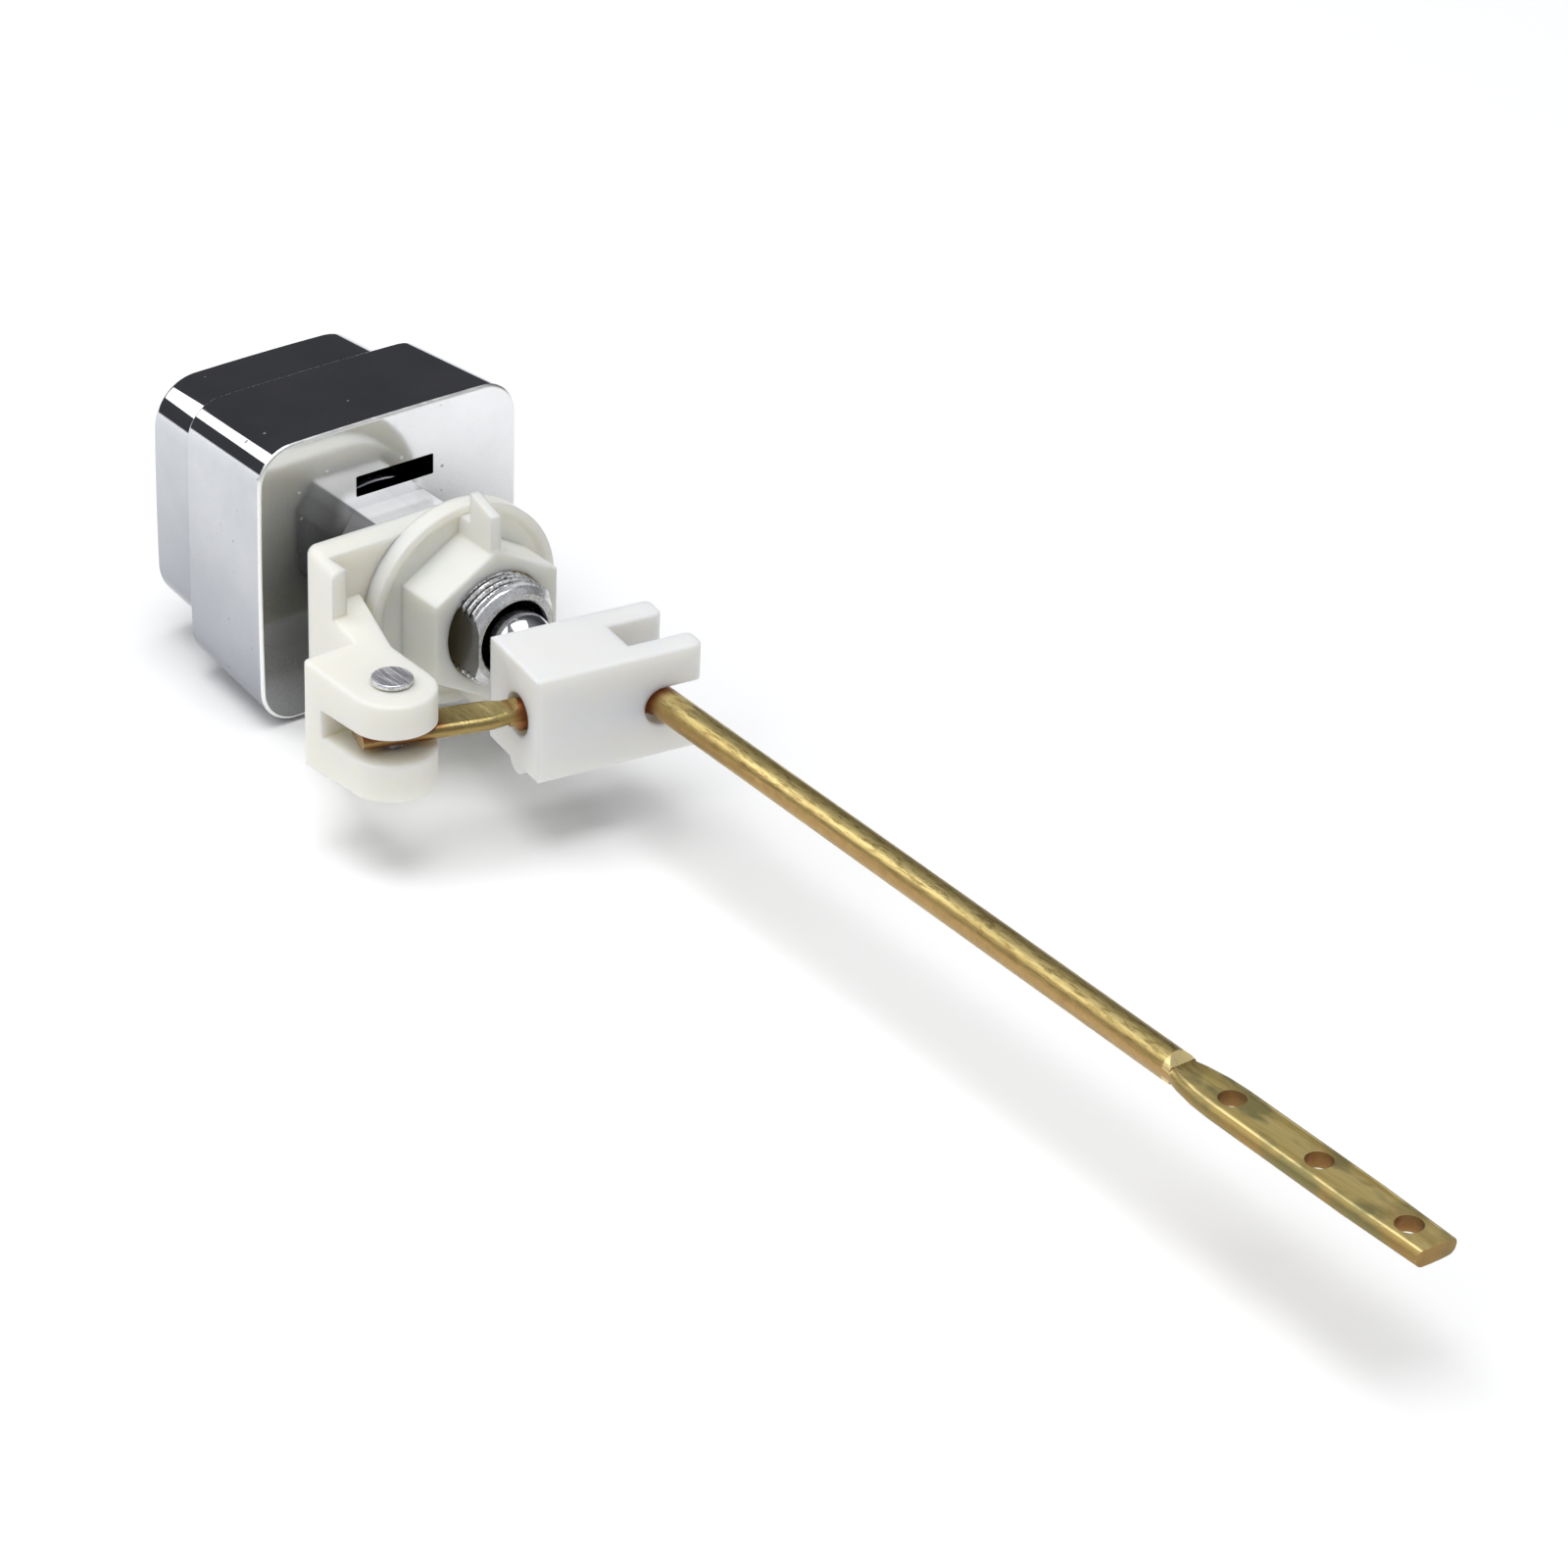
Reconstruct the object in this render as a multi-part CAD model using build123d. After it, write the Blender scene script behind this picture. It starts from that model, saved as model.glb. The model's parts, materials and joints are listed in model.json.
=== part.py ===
from build123d import *
import math
import os

os.makedirs("parts", exist_ok=True)

# Lengths are in millimetres and angles in degrees.
# The push axis is Y: the button stands at -Y and the arm reaches to +Y.
# Y = 0 is the housing's seat on the tank wall. Z runs along the arm's pivot.

# Clearances
running_fit = 0.06
push_fit = 0.02
slide_gap = 0.3
thread_gap = 0.2
key_gap = 0.25
touch_gap = 0.2
moulded_gap = 0.1

# Housing
seat_width = 48.2
mouth_width = 45.6
housing_depth = 22.2
housing_corner = 6.2
side_crown = 0.3
housing_floor = 2.4
seat_edge = 0.5
mouth_edge = 0.4
window_width = 14.4
window_height = 3.5
window_x = -1.0
window_z = 13.25
window_corner = 0.4

# Neck and threaded shank of the housing
neck_length = 12.0
neck_height = 18.7
neck_width = 18.9
neck_top = 12.7
neck_flank = 10.1
shank_end = 33.6
thread_radius = 8.9
shank_flat = 6.9
shank_nose = 7.4
nose_length = 1.8
clip_pocket_radius = 6.2
clip_pocket_depth = 9.0

# Push button
button_front = -36.9
button_face_width = 39.7
button_skirt_width = 41.0
button_corner = 7.9
button_crown = 0.3
button_wall = 1.8
button_face_wall = 2.2
button_edge = 1.0
button_bottom_gap = 3.8
boss_radius = 7.5
boss_length = 9.0
stroke = 7.0

# Push rod and its clip
rod_radius = 5.0
rod_socket = 1.8
groove_radius = 4.0
clip_radius = 5.9
clip_thickness = 0.8
clip_opening = 5.0
clip_side_play = 0.1

# Return spring
spring_radius = 11.2
spring_wire = 1.2
spring_coils = 6.5
spring_wire_sides = 8
spring_start_angle = 200.0
spring_pilot_radius = 10.2
spring_pilot_height = 2.5
spring_seat_gap = 0.05

# Bracket
plate_thickness = 5.0
plate_radius = 13.4
side_at_wall = 23.2
side_at_clevis = 26.5
plate_corner = 1.4
rib_inner = 22.5
rib_front = 21.5
web_right = 17.0
clevis_back = 29.0
clevis_root = 33.2
clevis_x = 29.0
clevis_half_width = 6.6
clevis_front = 49.7
clevis_above_arm = 8.7
clevis_below_arm = 9.0
clevis_corner = 0.9
clevis_edge = 0.5
underside_rise = 5.0
slot_height = 4.6
slot_back = 34.0
slot_rise = 3.3
spot_face_gap = 0.4
spot_face_depth = 0.3

# Lock nut
nut_across_corners = 26.1
nut_height = 8.4
nut_edge = 0.4
flange_radius = 16.8
flange_thickness = 3.3
flange_rim = 1.3
flange_recess = 0.6
lug_thickness = 1.8
lug_reach = 20.4
lug_front_reach = 18.4
lug_foot = 15.5
lug_back_offset = 2.4
lug_front_offset = 0.4

# Pivot rivet
pivot_x = 28.52
pivot_y = 42.17
rivet_radius = 1.55
rivet_head_radius = 3.16
rivet_head_height = 0.7
rivet_head_gap = 0.3
rivet_tail_radius = 2.7
rivet_tail_height = 0.9
rivet_edge = 0.3

# Trip arm
arm_z = -3.0
bar_angle = 17.5
bar_width = 6.6
bar_tip_width = 6.4
bar_flare = 5.0
bar_narrowing = 2.0
bar_thickness = 2.3
bar_lift = 0.55
bar_eye = 5.5
bar_flat_end = 18.3
bar_shoulder = 0.9
arm_radius = 2.5
bend_distance = 40.4
bend_radius = 4.5
arm_lean = 1.37
arm_reach = 172.1
tail_length = 51.4
tail_shoulder = 1.6
tail_width = 7.9
tail_tip_width = 7.2
tail_thickness = 2.6
tail_flare = 11.0
tail_narrowing = 14.0
tip_bow_radius = 30.0
blade_root = 4.3
chain_hole_radius = 2.0
chain_hole_pitch = 17.2
chain_hole_from_tip = 5.4
chain_holes = 3

# Arm block
block_angle = 8.86
block_near = 19.19
block_back = 6.2
block_length = 27.7
block_depth = 15.78
block_half_height = 8.73
block_edge = 0.5
back_prong = 4.8
front_prong = 4.4
back_prong_short = 1.0
prong_corner = 1.4
notch_start = 17.3
prong_window_start = 17.9
prong_window_height = 6.3
prong_window_drop = 0.45
mouth_radius = 3.4
mouth_depth = 3.0
bead_radius = 2.4
bead_drop = 1.4
bead_from_back = 9.0

# Values that follow from the ones above
mouth_y = -housing_depth
cavity_width = button_skirt_width + 2 * slide_gap
button_inner_y = button_front + button_face_wall
clip_seat_y = shank_end - clip_pocket_depth
plate_back = neck_length
plate_front = plate_back + plate_thickness
nut_back = plate_front
flange_front = nut_back + flange_thickness
nut_front = flange_front + nut_height
clevis_top = arm_z + clevis_above_arm
clevis_bottom = arm_z - clevis_below_arm
rivet_seat = clevis_bottom + math.tan(math.radians(underside_rise)) * (pivot_y - clevis_back)
rivet_tail_z = rivet_seat + spot_face_depth
pivot = Vector(pivot_x, pivot_y, arm_z)
block_turn = math.radians(block_angle)
block_face_y = pivot_y + (pivot_x * math.sin(block_turn) - block_back) / math.cos(block_turn)
ball_y = block_face_y - (rod_radius + touch_gap) / math.cos(block_turn)


def across(y):
    """A plane square to the push axis, drawn in X and Z."""
    return Plane(origin=(0, y, 0), x_dir=(1, 0, 0), z_dir=(0, -1, 0))


def along_push(sketch, y_from, y_to):
    """Extrude a sketch drawn in X and Z between two places on the push axis."""
    return extrude(across(y_to) * sketch, amount=y_to - y_from)


def turned(points, y_offset=0.0):
    """Revolve a closed outline of (radius, y) points about the push axis."""
    outline = Polyline(*[(radius, y + y_offset) for radius, y in points], close=True)
    return revolve(make_face(outline), Axis.Y)


def rod_y(radius, y_from, y_to):
    """A plain cylinder on the push axis."""
    return along_push(Circle(radius), y_from, y_to)


def crowned_square(width, corner, crown):
    """A rounded square whose sides bow outwards by the crown."""
    middle = width / 2
    end = middle - crown
    sides = ThreePointArc((end, end), (0, middle), (-end, end))
    sides += ThreePointArc((-end, end), (-middle, 0), (-end, -end))
    sides += ThreePointArc((-end, -end), (0, -middle), (end, -end))
    sides += ThreePointArc((end, -end), (middle, 0), (end, end))
    face = make_face(sides)
    return fillet(face.vertices(), corner)


def cut_cornered(width, height, cut_x, cut_z):
    """A rectangle with its four corners cut off straight."""
    x = width / 2
    z = height / 2
    outline = Polyline(
        (x, z - cut_z),
        (x - cut_x, z),
        (cut_x - x, z),
        (-x, z - cut_z),
        (-x, cut_z - z),
        (cut_x - x, -z),
        (x - cut_x, -z),
        (x, cut_z - z),
        close=True,
    )
    return make_face(outline)


def make_housing():
    """The tapered square shell with its window, neck, flatted shank and bore."""
    seat = across(0) * crowned_square(seat_width, housing_corner, side_crown)
    mouth = across(mouth_y) * crowned_square(mouth_width, housing_corner, side_crown)
    shell = loft([seat, mouth])
    shell = fillet(shell.edges().group_by(Axis.Y)[-1], seat_edge)
    shell = fillet(shell.edges().group_by(Axis.Y)[0], mouth_edge)
    cavity = crowned_square(cavity_width, button_corner + slide_gap, button_crown)
    shell -= along_push(cavity, mouth_y - 1, -housing_floor)

    flank = (neck_width - neck_top) / 2
    shoulder = (neck_height - neck_flank) / 2
    neck_outline = cut_cornered(neck_width, neck_height, flank, shoulder)
    neck = along_push(neck_outline, -housing_floor / 2, neck_length)

    nose_start = shank_end - nose_length
    shank = turned(
        [
            (0, 0),
            (thread_radius, 0),
            (thread_radius, nose_start),
            (shank_nose, shank_end),
            (0, shank_end),
        ]
    )
    flats = along_push(Rectangle(2 * shank_flat, 2 * thread_radius), 0, shank_end)
    pilot = rod_y(spring_pilot_radius, -housing_floor - spring_pilot_height, 0)
    body = shell + neck + (shank & flats) + pilot

    window = Pos(window_x, window_z) * RectangleRounded(window_width, window_height, window_corner)
    body -= along_push(window, -housing_floor - 1, 1)
    guide_start = -housing_floor - spring_pilot_height - 1
    body -= rod_y(rod_radius + running_fit, guide_start, shank_end + 1)
    body -= rod_y(clip_pocket_radius, clip_seat_y, shank_end + 1)
    return body


def make_push_button():
    """The square cap: a drafted head, a straight skirt and a socket boss for the rod."""
    face = across(button_front) * crowned_square(button_face_width, button_corner, button_crown)
    skirt_section = crowned_square(button_skirt_width, button_corner, button_crown)
    head = loft([face, across(mouth_y) * skirt_section])
    head = fillet(head.edges().group_by(Axis.Y)[0], button_edge)
    skirt_end = -housing_floor - stroke - button_bottom_gap
    cap = head + along_push(skirt_section, mouth_y, skirt_end)
    hollow_width = button_face_width - 2 * button_wall
    hollow = crowned_square(hollow_width, button_corner - button_wall, button_crown)
    cap -= along_push(hollow, button_inner_y, skirt_end + 1)
    boss_end = button_inner_y + boss_length
    cap += rod_y(spring_pilot_radius, button_inner_y - 0.5, button_inner_y + spring_pilot_height)
    cap += rod_y(boss_radius, button_inner_y - 0.5, boss_end)
    socket_floor = button_front + rod_socket
    cap -= rod_y(rod_radius + push_fit, socket_floor, boss_end + 1)
    return cap


def make_push_rod():
    """The plunger: a plain rod with a clip groove and a ball end."""
    start = button_front + rod_socket
    shaft = rod_y(rod_radius, start, ball_y)
    ball = Pos(0, ball_y, 0) * Sphere(rod_radius)
    shaft += ball
    groove_start = clip_seat_y + clip_side_play
    groove_end = groove_start + clip_thickness + 2 * push_fit
    groove = rod_y(rod_radius + 1, groove_start, groove_end)
    groove -= rod_y(groove_radius, groove_start, groove_end)
    return shaft - groove


def make_retaining_clip():
    """The open ring that stops the rod against the pocket in the shank."""
    start = clip_seat_y + clip_side_play + push_fit
    end = start + clip_thickness
    ring = rod_y(clip_radius, start, end) - rod_y(groove_radius + push_fit, start, end)
    opening = Pos(0, -clip_radius) * Rectangle(clip_opening, 2 * clip_radius)
    return ring - along_push(opening, start, end)


def make_return_spring():
    """The coil between the housing's floor and the button's face."""
    first = -housing_floor - spring_seat_gap - spring_wire / 2
    last = button_inner_y + spring_seat_gap + spring_wire / 2
    height = first - last
    path = Helix(pitch=height / spring_coils, height=height, radius=spring_radius)
    wire = RegularPolygon(spring_wire / 2, spring_wire_sides)
    section = Plane(origin=path @ 0, z_dir=path % 0) * wire
    coil = sweep(section, path=path, is_frenet=True)
    lean_to_push = Rot(90, 0, 0)
    return Pos(0, first, 0) * Rot(0, spring_start_angle, 0) * lean_to_push * coil


def side_x(y):
    """The bracket's flared outer side, from the tank wall to the clevis."""
    share = (y - plate_back) / (clevis_back - plate_back)
    return side_at_wall + share * (side_at_clevis - side_at_wall)


def make_bracket():
    """The clamp plate with its edge rib, web and clevis."""
    arm_side = Polyline(
        (0, plate_back),
        (side_x(plate_back), plate_back),
        (side_x(rib_front), rib_front),
        (rib_inner, rib_front),
        (rib_inner, plate_front),
        (0, plate_front),
        close=True,
    )
    plate = extrude(Plane.XY * make_face(arm_side), amount=plate_radius, both=True)
    side_face = plate.faces().sort_by(Axis.X)[-1]
    side_ends = [edge for edge in side_face.edges() if abs(edge.center().Z) > plate_radius / 2]
    plate = fillet(side_ends, plate_corner)
    plate += along_push(Circle(plate_radius), plate_back, plate_front)

    low_x = clevis_x - clevis_half_width
    high_x = clevis_x + clevis_half_width
    round_y = clevis_front - clevis_half_width
    side = Polyline(
        (low_x, round_y),
        (low_x, clevis_root),
        (web_right, plate_front),
        (web_right, plate_back + plate_thickness / 2),
        (side_x(plate_back + plate_thickness / 2), plate_back + plate_thickness / 2),
        (side_at_clevis, clevis_back),
        (high_x, clevis_back),
        (high_x, round_y),
    )
    tip = ThreePointArc((high_x, round_y), (clevis_x, clevis_front), (low_x, round_y))
    plan = Plane.XY.offset(clevis_bottom) * make_face(side + tip)
    clevis = extrude(plan, amount=clevis_top - clevis_bottom)
    back_corner = clevis.edges().filter_by(Axis.Z).sort_by_distance((high_x, clevis_back, arm_z))[0]
    clevis = fillet(back_corner, clevis_corner)
    reach = clevis_front - clevis_back + 1
    rise = math.tan(math.radians(underside_rise)) * reach
    wedge_outline = Polyline(
        (clevis_back, clevis_bottom - 1),
        (clevis_back, clevis_bottom),
        (clevis_back + reach, clevis_bottom + rise),
        (clevis_back + reach, clevis_bottom - 1),
        close=True,
    )
    wedge = extrude(Plane.YZ * make_face(wedge_outline), amount=2 * high_x)
    clevis -= wedge
    clevis = fillet(clevis.faces().sort_by(Axis.Z)[-1].edges(), clevis_edge)
    slot = Pos(clevis_x, slot_back, arm_z) * Rot(slot_rise, 0, 0) * Box(
        2 * clevis_half_width + 4,
        clevis_front,
        slot_height,
        align=(Align.CENTER, Align.MIN, Align.CENTER),
    )
    rivet_hole = Pos(pivot) * Cylinder(rivet_radius + running_fit, 4 * clevis_above_arm)
    spot_face = Pos(pivot_x, pivot_y, rivet_tail_z) * Cylinder(
        rivet_tail_radius + spot_face_gap,
        clevis_below_arm,
        align=(Align.CENTER, Align.CENTER, Align.MAX),
    )
    slot += spot_face
    body = plate + clevis - slot - rivet_hole
    key = Circle(thread_radius + key_gap) & Rectangle(
        2 * (shank_flat + key_gap), 2 * plate_radius
    )
    return body - along_push(key, plate_back - 1, plate_front + 1)


def make_lock_nut():
    """The hexagon on its recessed flange, with two finger lugs."""
    hex_radius = nut_across_corners / 2
    hexagon = Rot(0, 0, 30) * RegularPolygon(hex_radius, 6)
    body = along_push(hexagon, nut_back, nut_front)
    body = fillet(body.faces().sort_by(Axis.Y)[-1].edges(), nut_edge)
    flange = turned(
        [
            (0, nut_back),
            (flange_radius, nut_back),
            (flange_radius, flange_front),
            (flange_radius - flange_rim, flange_front),
            (flange_radius - flange_rim - flange_recess, flange_front - flange_recess),
            (0, flange_front - flange_recess),
        ]
    )
    body += flange
    lug_outline = Polyline(
        (nut_back + 1, 0),
        (nut_back + 1, lug_foot),
        (flange_front + lug_back_offset, lug_foot),
        (flange_front + lug_back_offset, lug_reach),
        (nut_front - lug_front_offset, lug_front_reach),
        (nut_front - lug_front_offset, 0),
        close=True,
    )
    lug = extrude(Plane.YZ * make_face(lug_outline), amount=lug_thickness / 2, both=True)
    body += lug
    body += mirror(lug, Plane.XY)
    return body - rod_y(thread_radius + thread_gap, nut_back - 1, nut_front + 1)


def make_rivet():
    """The pivot: a flat head above the clevis and a formed tail in its spot face."""
    head_z = clevis_top + rivet_head_gap
    low = (Align.CENTER, Align.CENTER, Align.MIN)
    high = (Align.CENTER, Align.CENTER, Align.MAX)
    shank = Cylinder(rivet_radius, head_z - rivet_tail_z, align=low)
    head = Cylinder(rivet_head_radius, rivet_head_height, align=low)
    head = fillet(head.edges().group_by(Axis.Z)[-1], rivet_edge)
    tail = Cylinder(rivet_tail_radius, rivet_tail_height, align=high)
    tail = fillet(tail.edges().group_by(Axis.Z)[0], 2 * rivet_edge)
    below = Pos(pivot_x, pivot_y, rivet_tail_z)
    return below * shank + Pos(pivot_x, pivot_y, head_z) * head + below * tail


def bar_direction():
    """The unit direction from the pivot along the flattened bar."""
    angle = math.radians(bar_angle)
    return Vector(-math.cos(angle), math.sin(angle), 0)


def arm_direction():
    """The unit direction of the round arm after its bend."""
    angle = math.radians(arm_lean)
    return Vector(math.sin(angle), math.cos(angle), 0)


def arm_path(start_distance, end_distance):
    """The arm's centre line between a distance from the pivot and one from the bend."""
    bend = pivot + bar_direction() * bend_distance
    start = pivot + bar_direction() * start_distance
    end = bend + arm_direction() * end_distance
    return FilletPolyline(start, bend, end, radius=bend_radius)


def arm_tube(radius, start_distance, end_distance):
    """A round section carried along the arm's centre line."""
    path = arm_path(start_distance, end_distance)
    section = Plane(origin=path @ 0, z_dir=path % 0) * Circle(radius)
    return sweep(section, path=path)


def pressed_away(frame, start, shoulder, level, reach):
    """The metal pressed off one side of the arm down to a level above its frame."""
    clear = arm_radius + 1
    slope = shoulder / (arm_radius - level)
    outline = Polyline(
        (start + shoulder, level),
        (start + shoulder - slope * (clear - level), clear),
        (reach, clear),
        (reach, level),
        close=True,
    )
    side = Plane(origin=frame.origin, x_dir=frame.x_dir, z_dir=frame.x_dir.cross(frame.z_dir))
    return extrude(side * make_face(outline), amount=4 * arm_radius, both=True)


def pressed_blade(length, widths, flare, narrowing, thickness):
    """A rod's end pressed flat: it flares from the rod, its sides stay round and its tip is bowed."""
    width, tip_width = widths
    gain = width - blade_root
    stations = [(flare * step / 3, width - gain * (1 - step / 3) ** 2) for step in range(4)]
    stations += [(length - narrowing, width), (length, tip_width)]
    sections = []
    for distance, section_width in stations:
        across = Plane(origin=(distance, 0, 0), x_dir=(0, 1, 0), z_dir=(1, 0, 0))
        sections.append(across * SlotOverall(section_width, thickness))
    blade = loft(sections, ruled=True)
    return blade & Pos(length - tip_bow_radius, 0) * Cylinder(tip_bow_radius, 2 * thickness)


def make_trip_arm():
    """The brass arm: flattened eye bar, bend, round arm and drilled flat tail."""
    bend = pivot + bar_direction() * bend_distance
    tail_start = arm_reach - tail_length
    body = arm_tube(arm_radius, bar_flat_end - bar_shoulder, tail_start + tail_shoulder)

    bar_top = bar_lift + bar_thickness / 2
    bar_bottom = bar_thickness / 2 - bar_lift
    for z_dir, level in (((0, 0, 1), bar_top), ((0, 0, -1), bar_bottom)):
        back = Plane(origin=pivot, x_dir=-bar_direction(), z_dir=z_dir)
        body -= pressed_away(back, -bar_flat_end - bar_shoulder, bar_shoulder, level, bar_eye)
    for z_dir in ((0, 0, 1), (0, 0, -1)):
        along = Plane(origin=bend, x_dir=arm_direction(), z_dir=z_dir)
        body -= pressed_away(along, tail_start, tail_shoulder, tail_thickness / 2, arm_reach)
    arm_frame = Plane(origin=bend, x_dir=arm_direction(), z_dir=(0, 0, 1))

    bar_length = bar_flat_end + bar_eye
    bar_widths = (bar_width, bar_tip_width)
    bar = pressed_blade(bar_length, bar_widths, bar_flare, bar_narrowing, bar_thickness)
    eye_frame = Plane(origin=pivot, x_dir=-bar_direction(), z_dir=(0, 0, 1))
    body += eye_frame * Pos(-bar_flat_end, 0, bar_lift) * bar
    tail_widths = (tail_width, tail_tip_width)
    tail = pressed_blade(tail_length, tail_widths, tail_flare, tail_narrowing, tail_thickness)
    body += arm_frame * Pos(tail_start, 0) * tail

    body -= Pos(pivot) * Cylinder(rivet_radius + running_fit, 2 * bar_thickness)
    for index in range(chain_holes):
        distance = arm_reach - chain_hole_from_tip - index * chain_hole_pitch
        hole = Cylinder(chain_hole_radius, 2 * tail_thickness)
        body -= arm_frame * Pos(distance, 0) * hole
    return body


def make_arm_block():
    """The pusher moulded round the arm's bend, forked where the arm comes out."""
    frame = Plane(
        origin=pivot,
        x_dir=(-math.cos(block_turn), math.sin(block_turn), 0),
        z_dir=(0, 0, -1),
    )
    far = block_near + block_length
    back = -block_back
    front = block_depth - block_back
    outline = Polyline(
        (block_near, back),
        (far - back_prong_short, back),
        (far - back_prong_short, back + back_prong),
        (block_near + notch_start, back + back_prong),
        (block_near + notch_start, front - front_prong),
        (far, front - front_prong),
        (far, front),
        (block_near, front),
        close=True,
    )
    face = make_face(outline)
    tips = face.vertices().filter_by_position(Axis.X, far - 1, far + 1)
    face = fillet(tips, prong_corner)
    body = extrude(frame * face, amount=block_half_height, both=True)
    body = fillet(body.faces().sort_by(Axis.Z)[-1].edges(), block_edge)
    body = fillet(body.faces().sort_by(Axis.Z)[0].edges(), block_edge)

    bead = Rot(0, 90, 0) * Cylinder(bead_radius, notch_start, align=(Align.CENTER, Align.CENTER, Align.MIN))
    bead_z = block_half_height - bead_radius + bead_drop
    body += frame * Pos(block_near, back + bead_from_back, bead_z) * bead

    window_radius = prong_window_height / 2
    window_x0 = block_near + prong_window_start + window_radius
    window_run = block_length - prong_window_start
    window_outline = Pos(window_x0, -prong_window_drop) * Circle(window_radius)
    window_middle = window_x0 + window_run / 2
    strip = Rectangle(window_run, prong_window_height)
    window_outline += Pos(window_middle, -prong_window_drop) * strip
    prong_back = frame.origin + frame.y_dir * (front - front_prong - 1)
    side = Plane(origin=prong_back, x_dir=frame.x_dir, z_dir=frame.y_dir)
    body -= extrude(side * window_outline, amount=front_prong + 2)

    body -= arm_tube(arm_radius + moulded_gap, bar_flat_end, 3 * arm_radius)
    mouth_frame = Plane(origin=pivot, z_dir=bar_direction())
    mouth_start = block_near - mouth_depth
    mouth = Cylinder(mouth_radius, 2 * mouth_depth, align=(Align.CENTER, Align.CENTER, Align.MIN))
    body -= mouth_frame * Pos(0, 0, mouth_start) * mouth
    return body


pieces = {
    "housing": make_housing(),
    "push_button": make_push_button(),
    "push_rod": make_push_rod(),
    "retaining_clip": make_retaining_clip(),
    "return_spring": make_return_spring(),
    "bracket": make_bracket(),
    "lock_nut": make_lock_nut(),
    "rivet": make_rivet(),
    "trip_arm": make_trip_arm(),
    "arm_block": make_arm_block(),
}

for name, piece in pieces.items():
    export_step(piece, f"parts/{name}.step")
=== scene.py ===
import bmesh
import bpy
import json
import math
import random
from mathutils import Matrix, Vector

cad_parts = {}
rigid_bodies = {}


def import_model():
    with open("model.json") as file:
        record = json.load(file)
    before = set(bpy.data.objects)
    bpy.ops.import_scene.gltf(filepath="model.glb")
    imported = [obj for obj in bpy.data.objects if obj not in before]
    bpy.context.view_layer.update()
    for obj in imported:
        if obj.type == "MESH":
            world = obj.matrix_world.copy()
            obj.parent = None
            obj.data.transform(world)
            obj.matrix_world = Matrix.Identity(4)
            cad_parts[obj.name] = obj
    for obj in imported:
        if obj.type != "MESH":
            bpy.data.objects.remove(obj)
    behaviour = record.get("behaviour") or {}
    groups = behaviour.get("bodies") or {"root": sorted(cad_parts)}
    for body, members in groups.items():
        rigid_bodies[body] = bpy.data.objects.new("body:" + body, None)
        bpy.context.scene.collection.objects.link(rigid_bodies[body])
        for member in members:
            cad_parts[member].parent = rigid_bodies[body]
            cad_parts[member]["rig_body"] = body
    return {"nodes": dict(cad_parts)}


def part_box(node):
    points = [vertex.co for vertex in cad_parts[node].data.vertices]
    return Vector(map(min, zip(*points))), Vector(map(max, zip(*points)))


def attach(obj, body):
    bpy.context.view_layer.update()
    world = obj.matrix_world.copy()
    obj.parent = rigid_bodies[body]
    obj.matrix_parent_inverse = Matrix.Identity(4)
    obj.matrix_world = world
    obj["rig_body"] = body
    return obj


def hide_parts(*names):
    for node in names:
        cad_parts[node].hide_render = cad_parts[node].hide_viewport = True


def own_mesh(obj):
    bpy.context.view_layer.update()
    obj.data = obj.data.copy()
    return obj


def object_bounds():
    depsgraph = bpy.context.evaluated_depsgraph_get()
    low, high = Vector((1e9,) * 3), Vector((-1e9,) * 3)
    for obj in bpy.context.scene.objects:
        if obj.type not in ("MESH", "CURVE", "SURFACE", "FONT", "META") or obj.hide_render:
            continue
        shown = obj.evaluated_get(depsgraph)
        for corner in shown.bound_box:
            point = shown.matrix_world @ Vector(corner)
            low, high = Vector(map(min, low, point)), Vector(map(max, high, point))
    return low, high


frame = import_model()
cad_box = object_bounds()
nodes = frame["nodes"]

# Sizes of the part are in millimetres, and MM turns them into Blender's metres.
MM = 0.001


def corners(node):
    """A CAD node's lowest and highest corner in millimetres."""
    low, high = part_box(node)
    return low / MM, high / MM


# ---------------------------------------------------------------- mesh helpers

WELD = 0.0005
COPY_WELD = 0.002
COPY_FLAT_ANGLE = 0.8  # degrees
COPY_EDGE_ANGLE = 26  # degrees
NORMAL_WEIGHT = 90
LATHE_SIDES = 96


def plain_mesh(name, points, faces):
    """A mesh from points in millimetres, with its faces turned outwards."""
    mesh = bpy.data.meshes.new(name)
    mesh.from_pydata([Vector(point) * MM for point in points], [], faces)
    mesh.validate()
    work = bmesh.new()
    work.from_mesh(mesh)
    bmesh.ops.remove_doubles(work, verts=work.verts, dist=WELD * MM)
    bmesh.ops.recalc_face_normals(work, faces=work.faces)
    work.to_mesh(mesh)
    work.free()
    return mesh


def finish_piece(name, mesh, materials, body, replaced=()):
    """Links a mesh as a piece, with its materials and body, and hides the CAD parts it
    replaces.
    """
    piece = bpy.data.objects.new(name, mesh)
    bpy.context.scene.collection.objects.link(piece)
    for material in materials:
        mesh.materials.append(material)
    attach(piece, body)
    if replaced:
        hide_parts(*replaced)
    return piece


def add_piece(name, points, faces, material, body, replaced=()):
    """A piece of one material from points in millimetres."""
    mesh = plain_mesh(name, points, faces)
    return finish_piece(name, mesh, [material], body, replaced)


def smooth(piece, angle, weighted=False):
    """Smooth shading, with sharp edges above an angle in degrees."""
    mesh = piece.data
    mesh.shade_smooth()
    mesh.set_sharp_from_angle(angle=math.radians(angle))
    if weighted:
        modifier = piece.modifiers.new("face_normals", "WEIGHTED_NORMAL")
        modifier.keep_sharp = True
        modifier.weight = NORMAL_WEIGHT


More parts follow.
